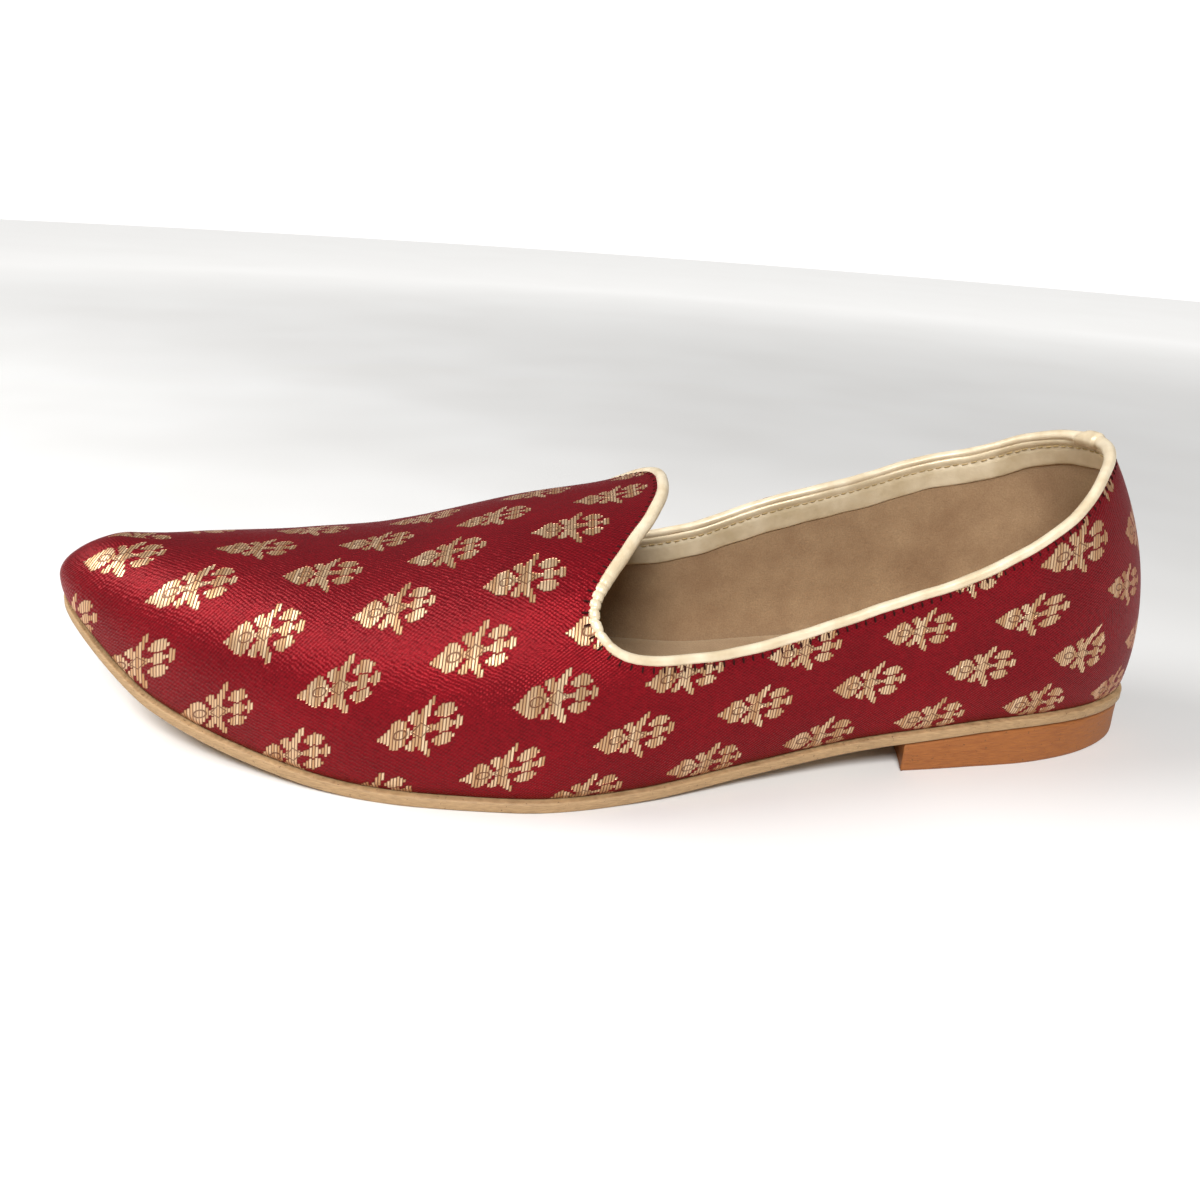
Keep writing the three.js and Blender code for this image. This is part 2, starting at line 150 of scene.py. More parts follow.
# The surface of the upper at a share of the length and a height above the seam: tucked in below
# the belly, y = a (1 - climb^n)^(1/n) above it, flared at the quarters, with the back leaning along
# X and the nose swelling a little ahead of the seam before it rolls back
def surface(at, height, side, inset=0.0):
    top = ridge(at) - inset
    belly = bellyShare(at) * ridge(at)
    power = squareness(at)
    rounding = roundEnds(at)
    climb = np.clip((height - belly) / (top - belly), 0, 1)
    tuck = np.clip(height / belly, 0, 1)
    flare = np.where(side > 0, outerFlare(at), innerFlare(at))
    spread = np.clip((height - belly) / shoe["sideHeight"], 0, 1.3) ** 2
    fullness = bulge(at) * rounding * (1 - (1 - tuck) ** 2) + shoe["quarterFlare"] * flare * spread
    across = (seamHalfWidth(at, side) - inset * rounding + fullness) * (1 - climb**power) ** (1 / power)
    above = np.minimum(height, shoe["backHeight"] * 1.1) - shoe["counterHeight"]
    tuckedBack = shoe["heelTuck"] * ((above / shoe["counterHeight"]) ** 2 - 1)
    leanShare = above / (shoe["backHeight"] - shoe["counterHeight"])
    leanedBack = shoe["heelLean"] * leanShare**2 - shoe["heelTuck"]
    heelShift = np.where(above < 0, tuckedBack, leanedBack) * np.clip(1 - at / shoe["heelTo"], 0, 1)
    swell = shoe["noseSwell"] * (1 - (1 - tuck) ** 2) * (1 - climb**2)
    nose = np.clip((at - shoe["noseFrom"]) / (1 - shoe["noseFrom"]), 0, 1)
    noseShift = (shoe["toeRoll"] * climb**2 - swell) * nose**2
    x = seamX(at) + inset * (1 - 2 * at) + heelShift - noseShift
    return np.stack([x, side * across, seamZ(at) + height], -1)


# Where a smooth curve through knots passes, at count places of equal spacing: a cubic between two
# knots whose slopes there are half the step from the knot before to the knot after
def alongSpline(knots, count):
    denseCount = 4000
    knots = np.asarray(knots, float)
    padded = np.vstack([2 * knots[0] - knots[1], knots, 2 * knots[-1] - knots[-2]])
    u = np.linspace(0, len(knots) - 1, denseCount)
    i = np.minimum(u.astype(int), len(knots) - 2)
    f = (u - i)[:, None]
    p0, p1, p2, p3 = padded[i], padded[i + 1], padded[i + 2], padded[i + 3]
    squared = 2 * p0 - 5 * p1 + 4 * p2 - p3
    cubed = 3 * p1 - p0 - 3 * p2 + p3
    dense = 0.5 * (2 * p1 + (p2 - p0) * f + squared * f**2 + cubed * f**3)
    return evenly(dense, count)


def evenly(points, count):
    steps = np.linalg.norm(np.diff(points, axis=0), axis=1)
    length = np.r_[0, np.cumsum(steps)]
    wanted = np.linspace(0, length[-1], count)
    return np.stack([np.interp(wanted, length, points[:, k]) for k in range(points.shape[1])], -1)


# The topline on one side as shares of the length and heights above the seam
def toplineShares(side, count):
    length = shoe["soleLength"]
    places = alongSpline([(at * length, height) for at, height in toplineRows], count)
    at = places[:, 0] / length
    fading = np.clip((liftFade["top"] - places[:, 1]) / liftFade["over"], 0, 1)
    belowTongue = np.where(at > liftFade["from"], fading, 1)
    lift = shoe["innerSideLift"] * innerLift(at) * belowTongue if side == innerSide else 0
    return at, places[:, 1] + lift


# One half of the topline, up to the ridge: shares and heights
def toplineHalf(side, inset):
    at, height = toplineShares(side, toplineSteps["fine"])
    stop = np.argmax(height >= ridge(at) - inset)
    return at[: stop + 1], height[: stop + 1]


# The collar as a closed loop from the middle of the back along the outer side and back along the
# inner side, at even steps: shares, heights, sides, points and running length
def collarLoop(count):
    inset = shoe["wall"] / 2
    outerAt, outerHeight = toplineHalf(outerSide, inset)
    innerAt, innerHeight = toplineHalf(innerSide, inset)
    at = np.r_[outerAt, innerAt[::-1]]
    height = np.r_[outerHeight, innerHeight[::-1]]
    side = np.r_[np.ones(len(outerAt)), -np.ones(len(innerAt))]
    points = surface(at, height, side, inset)
    length = np.r_[0, np.cumsum(np.linalg.norm(np.diff(points, axis=0), axis=1))]
    wanted = np.linspace(0, length[-1], count, endpoint=False)
    turn = length[len(outerAt) - 1]
    sides = np.where(wanted <= turn, 1.0, -1.0)
    loopPoints = np.stack([np.interp(wanted, length, points[:, k]) for k in range(3)], -1)
    return np.interp(wanted, length, at), np.interp(wanted, length, height), sides, loopPoints, wanted


# A place on the upper by two turns: one runs from the back to the toe, at = (1 - cos) / 2, and one
# climbs from the outer belly over the ridge to the inner belly along r = (cos^n + sin^n)^(-1/n)
def archPlace(stationTurn, turn, inset):
    at = (1 - np.cos(stationTurn)) / 2
    lifted = np.minimum(turn, np.pi - turn)
    c, s = np.cos(lifted), np.maximum(np.sin(lifted), 1e-6)
    power = squareness(at)
    belly = bellyShare(at) * ridge(at)
    radius = (np.maximum(c, 1e-6) ** power + s**power) ** (-1 / power)
    height = belly + (ridge(at) - inset - belly) * s * radius
    return surface(at, height, np.where(turn < np.pi / 2, 1.0, -1.0), inset)


# The two turns of places given by their share of the length, height and side at an inset
def turnsOf(at, height, side, inset):
    belly = bellyShare(at) * ridge(at)
    power = squareness(at)
    climb = np.clip((height - belly) / (ridge(at) - inset - belly), 0, 1)
    lifted = np.arctan2(climb, (1 - climb**power) ** (1 / power))
    return np.arccos(np.clip(1 - 2 * at, -1, 1)), np.where(side > 0, lifted, np.pi - lifted)


def unit(vectors):
    return vectors / np.maximum(np.linalg.norm(vectors, axis=-1, keepdims=True), 1e-9)


# Whether places on the side view lie in the opening, by counting crossings of its outline
def inOpening(at, height, side):
    result = np.zeros(at.shape, bool)
    for half in (outerSide, innerSide):
        lineAt, lineHeight = toplineShares(half, toplineSteps["clip"])
        px = np.r_[-0.2, lineAt, lineAt[-1], -0.2]
        py = np.r_[lineHeight[0], lineHeight, 200, 200]
        inside = np.zeros(at.shape, bool)
        for x0, y0, x1, y1 in zip(px, py, np.roll(px, -1), np.roll(py, -1)):
            if y0 != y1:
                crosses = (y0 > height) != (y1 > height)
                inside ^= crosses & (at < x0 + (height - y0) * (x1 - x0) / (y1 - y0))
        result |= inside & (side == half)
    return result


# The shift from the shoe's own axes to the frame: the outsole's box shows where the frame lies
soleLow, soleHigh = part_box("outsole")
widest = np.max(seamHalfWidth(np.linspace(0.5, 0.75, 400), outerSide)) + shoe["soleExtension"]
toFrame = np.array([soleLow[0] / mm, soleHigh[1] / mm - widest, 0.0])


def linear(hexColour):
    parts = [int(hexColour[i : i + 2], 16) / 255 for i in (1, 3, 5)]
    return [part / 12.92 if part <= 0.04045 else ((part + 0.055) / 1.055) ** 2.4 for part in parts] + [1.0]


# One mesh from vertices in millimetres and quads or triangles, with an optional UV per vertex
def addMesh(name, points, faces, uv=None):
    used = np.unique(faces)  # points that no face has are left out
    place = np.full(len(points), -1)
    place[used] = np.arange(len(used))
    faces = place[faces]
    mesh = bpy.data.meshes.new(name)
    sides = faces.shape[1]
    mesh.vertices.add(len(used))
    mesh.vertices.foreach_set("co", ((points[used] + toFrame) * mm).astype(np.float32).ravel())
    mesh.loops.add(faces.size)
    mesh.loops.foreach_set("vertex_index", faces.ravel().astype(np.int32))
    mesh.polygons.add(len(faces))
    mesh.polygons.foreach_set("loop_start", np.arange(0, faces.size, sides, dtype=np.int32))
    mesh.polygons.foreach_set("use_smooth", np.ones(len(faces), bool))
    if uv is not None:
        layer = mesh.uv_layers.new(name="cloth")
        layer.data.foreach_set("uv", (uv[used][faces.ravel()] * mm).astype(np.float32).ravel())
    mesh.update(calc_edges=True)
    mesh.validate()
    piece = bpy.data.objects.new(name, mesh)
    bpy.context.scene.collection.objects.link(piece)
    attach(piece, "root")
    return piece


# Quads over a grid of points, closed along either way where asked
def gridQuads(rows, columns, closeRows=False, closeColumns=False):
    i = np.arange(rows if closeRows else rows - 1)[:, None]
    j = np.arange(columns if closeColumns else columns - 1)[None, :]
    nextI, nextJ = (i + 1) % rows, (j + 1) % columns
    corners = [i * columns + j, i * columns + nextJ, nextI * columns + nextJ, nextI * columns + j]
    return np.stack([np.broadcast_to(c, (i.shape[0], j.shape[1])) for c in corners], -1).reshape(-1, 4)


def fill(piece, material):
    piece.data.materials.append(material)
    return piece


# Links sockets to a node's inputs, and sets plain values on them
def setInputs(node, values):
    for key, value in values.items():
        if isinstance(value, bpy.types.NodeSocket):
            node.id_data.links.new(value, node.inputs[key])
        else:
            node.inputs[key].default_value = value


# Adds one shader node and gives one of its outputs. The kind may name an operation after a dot.
# The inputs are filled in order, or by the keys of a dictionary.
def addNode(tree, kind, *inputs, output=0, **settings):
    kind, _, operation = kind.partition(".")
    made = tree.nodes.new("ShaderNode" + kind)
    if operation:
        made.operation = operation
    for name, value in settings.items():
        setattr(made, name, value)
    byKey = inputs and isinstance(inputs[0], dict)
    setInputs(made, inputs[0] if byKey else dict(enumerate(inputs)))
    return made.outputs[output] if len(made.outputs) else made


# A material with its shader, and addNode for its own tree
def newMaterial(name):
    material = bpy.data.materials.new(name)
    material.use_nodes = True
    tree = material.node_tree
    tree.nodes.clear()
    add = partial(addNode, tree)
    shader = add("BsdfPrincipled").node
    add("OutputMaterial", shader.outputs["BSDF"])
    return material, shader, add


# What a mix of two colours, a noise with features in millimetres and a bump are given
asColour = {"data_type": "RGBA", "output": 2}


def tones(share, first, second):
    return {0: share, 6: first, 7: second}


def grain(place, size, detail):
    return {"Vector": place, "Scale": 1 / (size * mm), "Detail": detail, "Roughness": 0.6}


def relief(height, depth):
    return {"Height": height, "Distance": depth * mm, "Strength": 1.0}


# The cloth's repeat in millimetres: lattice and floats, the eye of the bud, the line round the
# trefoil, the weave of the ground, drawn coarser than real threads so that it shows, and colours.
# The dark colour serves both the tying threads and the painted shade in the gaps between floats.
brocade = {
    "repeat": 29.3, "rowPitch": 14.6, "shear": 3.6, "phase": -3.8, "float": 0.72, "reach": 10.0, "tall": 8.0,
    "lean": 0.08, "ragged": 0.5, "soft": 0.12,
    "eyeAt": 4.2, "eyeLong": 1.8, "eyeWide": 1.25, "eyeRing": 0.8,
    "lineAt": -0.4, "lineSteep": 0.62, "lineLong": 0.5,
    "weftPitch": 1.2, "warpPitch": 0.95, "wander": 4.4, "relief": 0.3,
    "red": "#860E1B", "deepRed": "#46070F", "gold": "#BC9066", "paleGold": "#E6C8A2", "darkThreadAndShade": "#4A1A12",
    "shine": "#F08A80",
}
# The chart of one motif, drawn with one row for each float from the foot of the stem to
# the tip: the half-width of the middle part, and the inner and outer reach of the lobes and
# leaves on each side
motifChart = [
    (1.2, 0, 0), (1.5, 0, 0), (0.55, 2.6, 3.3), (0.6, 1.8, 4.1), (1.4, 1.75, 4.4), (1.45, 1.8, 4.5),
    (1.4, 1.8, 4.4), (0.6, 1.9, 4.0), (0.55, 2.4, 3.2), (0.6, 4.6, 6.5), (0.9, 2.8, 6.1), (1.2, 1.0, 5.2),
    (1.3, 0.5, 4.3), (1.2, 0.5, 3.3), (0.9, 1.2, 4.3), (0.6, 2.0, 4.4), (1.3, 2.9, 4.0), (2.5, 0, 0),
    (3.1, 0, 0), (3.3, 0, 0), (3.2, 0, 0), (2.8, 0, 0), (1.9, 0, 0), (1.3, 0, 0), (0.8, 0, 0), (0.4, 0, 0),
]


# One column of the chart as a curve of the place along the motif's axis, in millimetres
def chartCurve(add, column, place):
    made = add("FloatCurve", {"Value": place}).node
    points = made.mapping.curves[0].points
    reach, tall = brocade["reach"], brocade["tall"]
    spots = (np.arange(len(motifChart)) - (len(motifChart) - 1) / 2) * brocade["float"]
    inside = [(float(spot), row[column]) for spot, row in zip(spots, motifChart)]
    rows = [(-reach, 0), (spots[0] - 0.1, 0)] + inside + [(spots[-1] + 0.1, 0), (reach, 0)]
    for _ in range(len(rows) - 2):
        points.new(0.5, 0.5)
    for point, (along, wide) in zip(points, rows):
        point.location = ((along + reach) / (2 * reach), wide / tall)
        point.handle_type = "VECTOR"
    made.mapping.update()
    return add("Math.MULTIPLY", made.outputs[0], tall)


# Red satin-faced cotton with motifs of gold zari floats, woven in as a half-drop repeat. The
# floats lie across each motif, end thread by thread, and stand a little proud, with painted shade in the gaps
# between them.
def zariBrocade():
    material, shader, add = newMaterial("zariBrocadeWoven")
    uv = add("UVMap", uv_map="cloth")
    split = add("SeparateXYZ", uv).node
    along = add("Math.MULTIPLY", split.outputs[0], 1 / mm)
    across = add("Math.MULTIPLY", split.outputs[1], 1 / mm)
    repeat, pitch, thread = (brocade[key] for key in ("repeat", "rowPitch", "float"))

    # the place in the nearest motif: a along its axis, b across it
    row = add("Math.ROUND", add("Math.DIVIDE", across, pitch))
    parity = add("Math.FLOORED_MODULO", row, 2.0)
    sheared = add("Math.MULTIPLY_ADD", row, brocade["shear"], along)
    phased = add("Math.ADD", sheared, brocade["phase"])
    started = add("Math.MULTIPLY_ADD", parity, repeat / 2, phased)
    cell = add("Math.ROUND", add("Math.DIVIDE", started, repeat))
    b = add("Math.MULTIPLY_ADD", row, -pitch, across)
    straight = add("Math.MULTIPLY_ADD", cell, -repeat, started)
    a = add("Math.MULTIPLY_ADD", b, -brocade["lean"], straight)  # the floats lean a little
    sideways = add("Math.ABSOLUTE", b)

    # each thread ends a little further out or in, by its own random number
    threadIndex = add("Math.FLOOR", add("Math.DIVIDE", a, thread))
    threadMiddle = add("Math.ADD", threadIndex, 0.5)
    aStep = add("Math.MULTIPLY", threadMiddle, thread)
    motifSeed = add("Math.MULTIPLY_ADD", row, 17.0, add("Math.MULTIPLY", cell, 41.0))
    seed = add("Math.ADD", motifSeed, threadIndex)
    perThread = add("TexWhiteNoise", {"W": seed}, noise_dimensions="1D")
    lengthened = add("Math.SUBTRACT", sideways, brocade["ragged"] / 2)
    ragged = add("Math.MULTIPLY_ADD", perThread, brocade["ragged"], lengthened)

    # inside the middle part, or between the two reaches of a lobe or leaf
    fromStart = add("Math.ADD", aStep, brocade["reach"])
    place = add("Math.DIVIDE", fromStart, 2 * brocade["reach"])
    body, low, high = (chartCurve(add, column, place) for column in (0, 1, 2))
    edges = []
    for further, nearer in ((body, ragged), (high, ragged), (ragged, low)):
        apart = add("Math.SUBTRACT", further, nearer)
        edges.append(add("MapRange", apart, -brocade["soft"], brocade["soft"], 0.0, 1.0))
    bodyThere, leafThere = (add("Math.GREATER_THAN", reached, 0.3) for reached in (body, high))
    inBody = add("Math.MULTIPLY", edges[0], bodyThere)
    inLeaf = add("Math.MULTIPLY", add("Math.MULTIPLY", edges[1], edges[2]), leafThere)
    motif = add("Math.MAXIMUM", inBody, inLeaf)

    # tying threads draw the eye of the bud and a line round the middle of the trefoil
    fromEye = add("Math.SUBTRACT", straight, brocade["eyeAt"])
    eyePlace = add("Math.DIVIDE", fromEye, brocade["eyeLong"])
    eyeAcross = add("Math.DIVIDE", b, brocade["eyeWide"])
    acrossSquared = add("Math.MULTIPLY", eyeAcross, eyeAcross)
    eyeSquared = add("Math.MULTIPLY_ADD", eyePlace, eyePlace, acrossSquared)
    fromRing = add("Math.SUBTRACT", add("Math.SQRT", eyeSquared), brocade["eyeRing"])
    eye = add("MapRange", add("Math.ABSOLUTE", fromRing), 0.07, 0.2, 1.0, 0.0)
    fromMiddle = add("Math.ABSOLUTE", add("Math.ADD", straight, -brocade["lineAt"]))
    middleLong = add("Math.MULTIPLY", fromMiddle, brocade["lineLong"])
    middleSum = add("Math.MULTIPLY_ADD", sideways, brocade["lineSteep"], middleLong)
    fromLine = add("Math.ABSOLUTE", add("Math.SUBTRACT", middleSum, 1.0))
    line = add("MapRange", fromLine, 0.06, 0.16, 0.9, 0.0)
    # the gaps between floats get the same dark colour as the ties: painted shade
    fromFloat = add("Math.PINGPONG", a, thread / 2)
    between = add("MapRange", fromFloat, 0.04, 0.17, 1.0, 0.0)
    darkTiesAndGapShade = add("Math.MAXIMUM", add("Math.MAXIMUM", eye, line), between)
    clearOfTiesAndGaps = add("Math.SUBTRACT", 1.0, darkTiesAndGapShade)

    gold, paleGold, darkThreadAndShade = (linear(brocade[key]) for key in ("gold", "paleGold", "darkThreadAndShade"))
    goldColour = add("Mix", tones(perThread, gold, paleGold), **asColour)
    # the dark colour: real thread at the eye and the line, painted shade in the gaps between floats
    tieAndGapDarkening = add("Math.MULTIPLY", darkTiesAndGapShade, 0.8)
    goldWithTiesAndShade = add("Mix", tones(tieAndGapDarkening, goldColour, darkThreadAndShade), **asColour)

    # the satin ground: weft and warp as two waves that wander a little. Where they dip, the ground is
    # darkened: painted shade.
    spot = add("TexCoord", output="Object")
    uneven = add("Math.MULTIPLY", add("TexNoise", grain(spot, 1.6, 2.0)), brocade["wander"])
    waves = []
    for way, spacing in ((along, brocade["weftPitch"]), (across, brocade["warpPitch"])):
        turns = add("Math.MULTIPLY", way, 2 * math.pi / spacing)
        waves.append(add("Math.COSINE", add("Math.ADD", turns, uneven)))
    satin = add("Math.MULTIPLY", *waves)
    red, deepRed = linear(brocade["red"]), linear(brocade["deepRed"])
    worn = add("MapRange", add("TexNoise", grain(spot, 22, 3.0)), 0.3, 0.7, 0.35, 0.0)
    ground = add("Mix", tones(worn, red, deepRed), **asColour)
    # painted shade in the weave's hollows, broken up by noise
    hollow = add("MapRange", satin, -0.6, 0.8, 0.6, 0.0)
    fuzz = add("MapRange", add("TexNoise", grain(spot, 1.3, 2.0)), 0.35, 0.6, 0.25, 1.0)
    weaveShade = add("Math.MULTIPLY", hollow, fuzz)
    groundWithWeaveShade = add("Mix", tones(weaveShade, ground, deepRed), **asColour)
    fibres = add("Math.MULTIPLY", add("TexNoise", grain(spot, 1.1, 2.0)), 0.3)

    bright = add("Math.MULTIPLY", motif, clearOfTiesAndGaps)
    raised = add("Math.MULTIPLY_ADD", clearOfTiesAndGaps, 0.45, 0.5)
    rep = add("Math.MULTIPLY_ADD", satin, 0.17, fibres)
    height = add("Mix", {0: motif, 2: rep, 3: raised}, data_type="FLOAT")
    setInputs(shader, {
        "Base Color": add("Mix", tones(motif, groundWithWeaveShade, goldWithTiesAndShade), **asColour),
        "Metallic": add("MapRange", bright, 0.0, 1.0, 0.4, 0.6),
        "Roughness": add("MapRange", motif, 0.0, 1.0, 0.42, 0.36),
        "Specular Tint": linear(brocade["shine"]),
        "Normal": add("Bump", relief(height, brocade["relief"])),
    })
    return material


# Cream sheepskin with a pearl finish, rolled and pressed: a satin gloss over a fine grain
def creamLeather(name, piece):
    material, shader, add = newMaterial(name)
    spot = add("TexCoord", output="Object")
    cloud = add("TexNoise", grain(spot, 9, 3.0))
    paler = add("MapRange", cloud, 0.35, 0.65, 0.0, 1.0)
    colour = add("Mix", tones(paler, linear(piece["deep"]), linear(piece["pale"])), **asColour)
    soil = add("MapRange", add("TexNoise", grain(spot, 3.2, 4.0)), 0.62, 0.8, 0.0, 0.25)
    pores = add("TexNoise", grain(spot, piece["grain"], 3.0))
    setInputs(shader, {
        "Base Color": add("Mix", tones(soil, colour, linear("#B79460")), **asColour),
        "Roughness": add("MapRange", cloud, 0.3, 0.7, 0.3, 0.42),
        "Metallic": 0.12,
        "Normal": add("Bump", relief(pores, 0.06)),
    })
    return material


# Brushed microsuede: soft nap with lighter and darker strokes
def microsuede(name, piece):
    material, shader, add = newMaterial(name)
    spot = add("TexCoord", output="Object")
    stroke = add("MapRange", add("TexNoise", grain(spot, 14, 4.0)), 0.3, 0.7, 0.0, 1.0)
    nap = add("TexNoise", grain(spot, 0.45, 2.0))
    colour = add("Mix", tones(stroke, linear(piece["deep"]), linear(piece["pale"])), **asColour)
    shaded = add("MapRange", nap, 0.3, 0.7, 0.0, 0.35)
    setInputs(shader, {
        "Base Color": add("Mix", tones(shaded, colour, linear("#664A32")), **asColour),
        "Roughness": 0.92,
        "Sheen Weight": 0.5,
        "Sheen Roughness": 0.5,
        "Sheen Tint": linear("#E6D3B0"),
        "Normal": add("Bump", relief(nap, 0.12)),
    })
    return material


# Tan leather board, cut and sanded: fibres lie in thin layers along the edge, with small specks
def leatherBoard(name, piece):
    material, shader, add = newMaterial(name)
    spot = add("TexCoord", output="Object")
    flat = add("VectorMath.MULTIPLY", spot, (1.0, 1.0, 9.0))
    layers = add("TexNoise", grain(flat, piece["layer"], 4.0))
    deep, pale = linear(piece["deep"]), linear(piece["pale"])
    paler = add("MapRange", layers, 0.3, 0.7, 0.0, 1.0)
    colour = add("Mix", tones(paler, deep, pale), **asColour)
    cloud = add("MapRange", add("TexNoise", grain(spot, 12, 2.0)), 0.3, 0.7, 0.0, 0.4)
    tone = add("Mix", tones(cloud, colour, pale), **asColour)
    speck = add("MapRange", add("TexNoise", grain(spot, 0.9, 2.0)), 0.66, 0.72, 0.0, 0.75)
    setInputs(shader, {
        "Base Color": add("Mix", tones(speck, tone, linear("#5A3A1E")), **asColour),
        "Roughness": add("MapRange", layers, 0.3, 0.7, 0.5, 0.72),
        "Normal": add("Bump", relief(layers, 0.15)),
    })
    return material


# Twisted cotton thread, dyed: dull, with a darker shade here and there
def cottonThread(name, piece):
    material, shader, add = newMaterial(name)
    spot = add("TexCoord", output="Object")
    patchy = add("TexNoise", grain(spot, 0.5, 1.0))
    setInputs(shader, {
        "Base Color": add("Mix", tones(patchy, linear(piece["pale"]), linear(piece["deep"])), **asColour),
        "Roughness": 0.8,
        "Specular IOR Level": 0.15,
    })
    return material


# The rings of a form from the seam to the ridge on both sides: shares, heights and sides
def formGrid(stationCount, tuckCount, archCount, inset):
    at = ((1 - np.cos(np.pi * np.linspace(0, 1, stationCount))) / 2)[:, None]
    belly = bellyShare(at) * ridge(at)
    power = squareness(at)
    angle = np.linspace(0, np.pi / 2, archCount)[None, :]
    radius = (np.cos(angle) ** power + np.sin(angle) ** power) ** (-1 / power)
    arch = belly + (ridge(at) - inset - belly) * radius * np.sin(angle)
    tuck = belly * np.linspace(0, 1, tuckCount, endpoint=False)[None, :]
    heights = np.concatenate([tuck, arch], 1)
    both = np.concatenate([heights, heights[:, ::-1][:, 1:]], 1)
    side = np.r_[np.ones(heights.shape[1]), -np.ones(heights.shape[1] - 1)]
    return np.broadcast_to(at, both.shape), both, np.broadcast_to(side, both.shape)


# The gap to the topline in millimetres, and the share and height that part the foot from the tongue
clipping = {"edgeGap": 0.35, "footBefore": 0.3, "footBelow": 38}


# Quads of a form that lie below the topline, judged in the middle of the wall for every skin, and
# a little way from the edge, so that no corner of a quad stands through the binding: below it
# round the foot, and in front of it on the tongue
def closedBelowTopline(stationCount, tuckCount, archCount):
    at, height, side = formGrid(stationCount, tuckCount, archCount, shoe["wall"] / 2)
    quads = gridQuads(*at.shape)
    quadAt, quadHeight = (values.ravel()[quads].mean(1) for values in (at, height))
    sides = np.where(side.ravel()[quads].sum(1) < 0, innerSide, outerSide)
    roundFoot = (quadAt < clipping["footBefore"]) | (quadHeight < clipping["footBelow"])
    judgedAt = quadAt - clipping["edgeGap"] / shoe["soleLength"]
    judgedHeight = quadHeight + clipping["edgeGap"] * roundFoot
    return quads[~inOpening(judgedAt, judgedHeight, sides)]


# Soft dents and creases of the brocade: where each starts and ends as a share of the
# length and a height above the seam, its side, width and depth
creases = [
    {"start": (0.553, 41), "end": (0.68, 36), "side": outerSide, "width": 3.4, "depth": 0.8},
    {"start": (0.552, 34), "end": (0.63, 22), "side": outerSide, "width": 4.2, "depth": 0.6},
    {"start": (0.545, 30), "end": (0.53, 12), "side": outerSide, "width": 5.0, "depth": 0.3},
    {"start": (0.47, 26), "end": (0.42, 12), "side": outerSide, "width": 6.0, "depth": 0.35},
    {"start": (0.11, 42), "end": (0.16, 20), "side": outerSide, "width": 6.0, "depth": 0.3},
    {"start": (0.556, 42), "end": (0.64, 37), "side": innerSide, "width": 3.2, "depth": 0.5},
    {"start": (0.46, 30), "end": (0.42, 14), "side": innerSide, "width": 6.0, "depth": 0.4},
]


# How far the surface sinks at a place: depth * exp(-(distance / width)^2) for each crease
def creaseDepth(at, height, side):
    total = np.zeros(at.shape)
    length = shoe["soleLength"]
    for crease in creases:
        start = np.array([crease["start"][0] * length, crease["start"][1]])
        run = np.array([crease["end"][0] * length, crease["end"][1]]) - start
        dx, dy = at * length - start[0], height - start[1]
        share = np.clip((dx * run[0] + dy * run[1]) / (run @ run), 0, 1)
        distance = np.hypot(dx - share * run[0], dy - share * run[1])
        fade = (1 - 0.7 * share) * (side * crease["side"] > 0)
        total += crease["depth"] * np.exp(-((distance / crease["width"]) ** 2)) * fade
    return total


# Rows of the cloth over the foot: distance down from the ridge, and the row of motifs there
clothRows = [
    (0.0, -0.31), (5.0, 0.0), (21.0, 1.0), (38.5, 2.0), (55.0, 3.0), (68.0, 4.0), (80.0, 5.0), (93.0, 6.0),
    (110.0, 7.35),
]
# Where the cloth is drawn round the toe, the heel and the ball: the share of the length where that
# starts, the share over which it grows, its ease in rows, and how far the cloth moves along
clothEase = {
    "toe": {"from": 0.85, "over": 0.1, "rows": 0.33, "along": 4.5},
    "heel": {"from": 0.16, "over": -0.08, "rows": 0.38, "along": 5.9},
    "ball": {"from": 0.52, "over": 0.08, "rows": 0.35},
}
levelFrom = {"throat": 0.47, "heel": 0.2}  # where rows begin to run level, and to turn with the heel


# Places on the cloth: along the shoe, and down from the ridge, measured along each ring. Towards
# the heel the cloth runs level with the seam, so that its distance there counts up from the seam.
def clothPlaces(points, at, side):
    steps = np.linalg.norm(np.diff(points, axis=1), axis=2)
    girth = np.concatenate([np.zeros((len(points), 1)), np.cumsum(steps, 1)], 1)
    middle = points.shape[1] // 2
    outerTotal = girth[:, middle][:, None]
    innerTotal = girth[:, -1:] - outerTotal
    throat = np.argmin(np.abs(at[:, 0] - levelFrom["throat"]))
    station = np.arange(len(points))
    reference = np.maximum(station, throat)
    outerDown = outerTotal[reference] - girth
    innerDown = innerTotal[reference] - (girth[:, -1:] - girth)
    down = np.where(side > 0, outerDown, innerDown)
    rows = curve(clothRows)(np.abs(down))
    eases = [clothEase[key] for key in ("toe", "heel", "ball")]
    atToe, atHeel, atBall = (np.clip((at - ease["from"]) / ease["over"], 0, 1) for ease in eases)
    # which rows of motifs each ease takes hold of
    aboveCounter = np.clip((4.8 - rows) / 0.8, 0, 1)
    onRidge = np.clip(2.2 - rows, 0, 1)
    nearSeam = np.clip((rows - 3.6) / 1.6, 0, 1)
    drawn = (-atToe * onRidge, atHeel * aboveCounter, -atBall * nearSeam)
    eased = sum(ease["rows"] * share for ease, share in zip(eases, drawn))
    rows = (rows + eased) * brocade["rowPitch"]
    mirrored = np.where(side > 0, rows, 2 * clothRows[0][1] * brocade["rowPitch"] - rows)
    x = seamX(at[:, 0])
    half = (seamHalfWidth(at[:, 0], outerSide) + seamHalfWidth(at[:, 0], innerSide)) / 2
    arc = np.r_[0, np.cumsum(np.hypot(np.diff(x), np.diff(half)))]
    bend = np.argmin(np.abs(at[:, 0] - levelFrom["heel"]))
    along = np.where(station < bend, x[bend] - arc[bend] + arc, x)
    moved = clothEase["heel"]["along"] * atHeel * aboveCounter - clothEase["toe"]["along"] * atToe
    return np.stack([along[:, None] + moved, mirrored], -1)


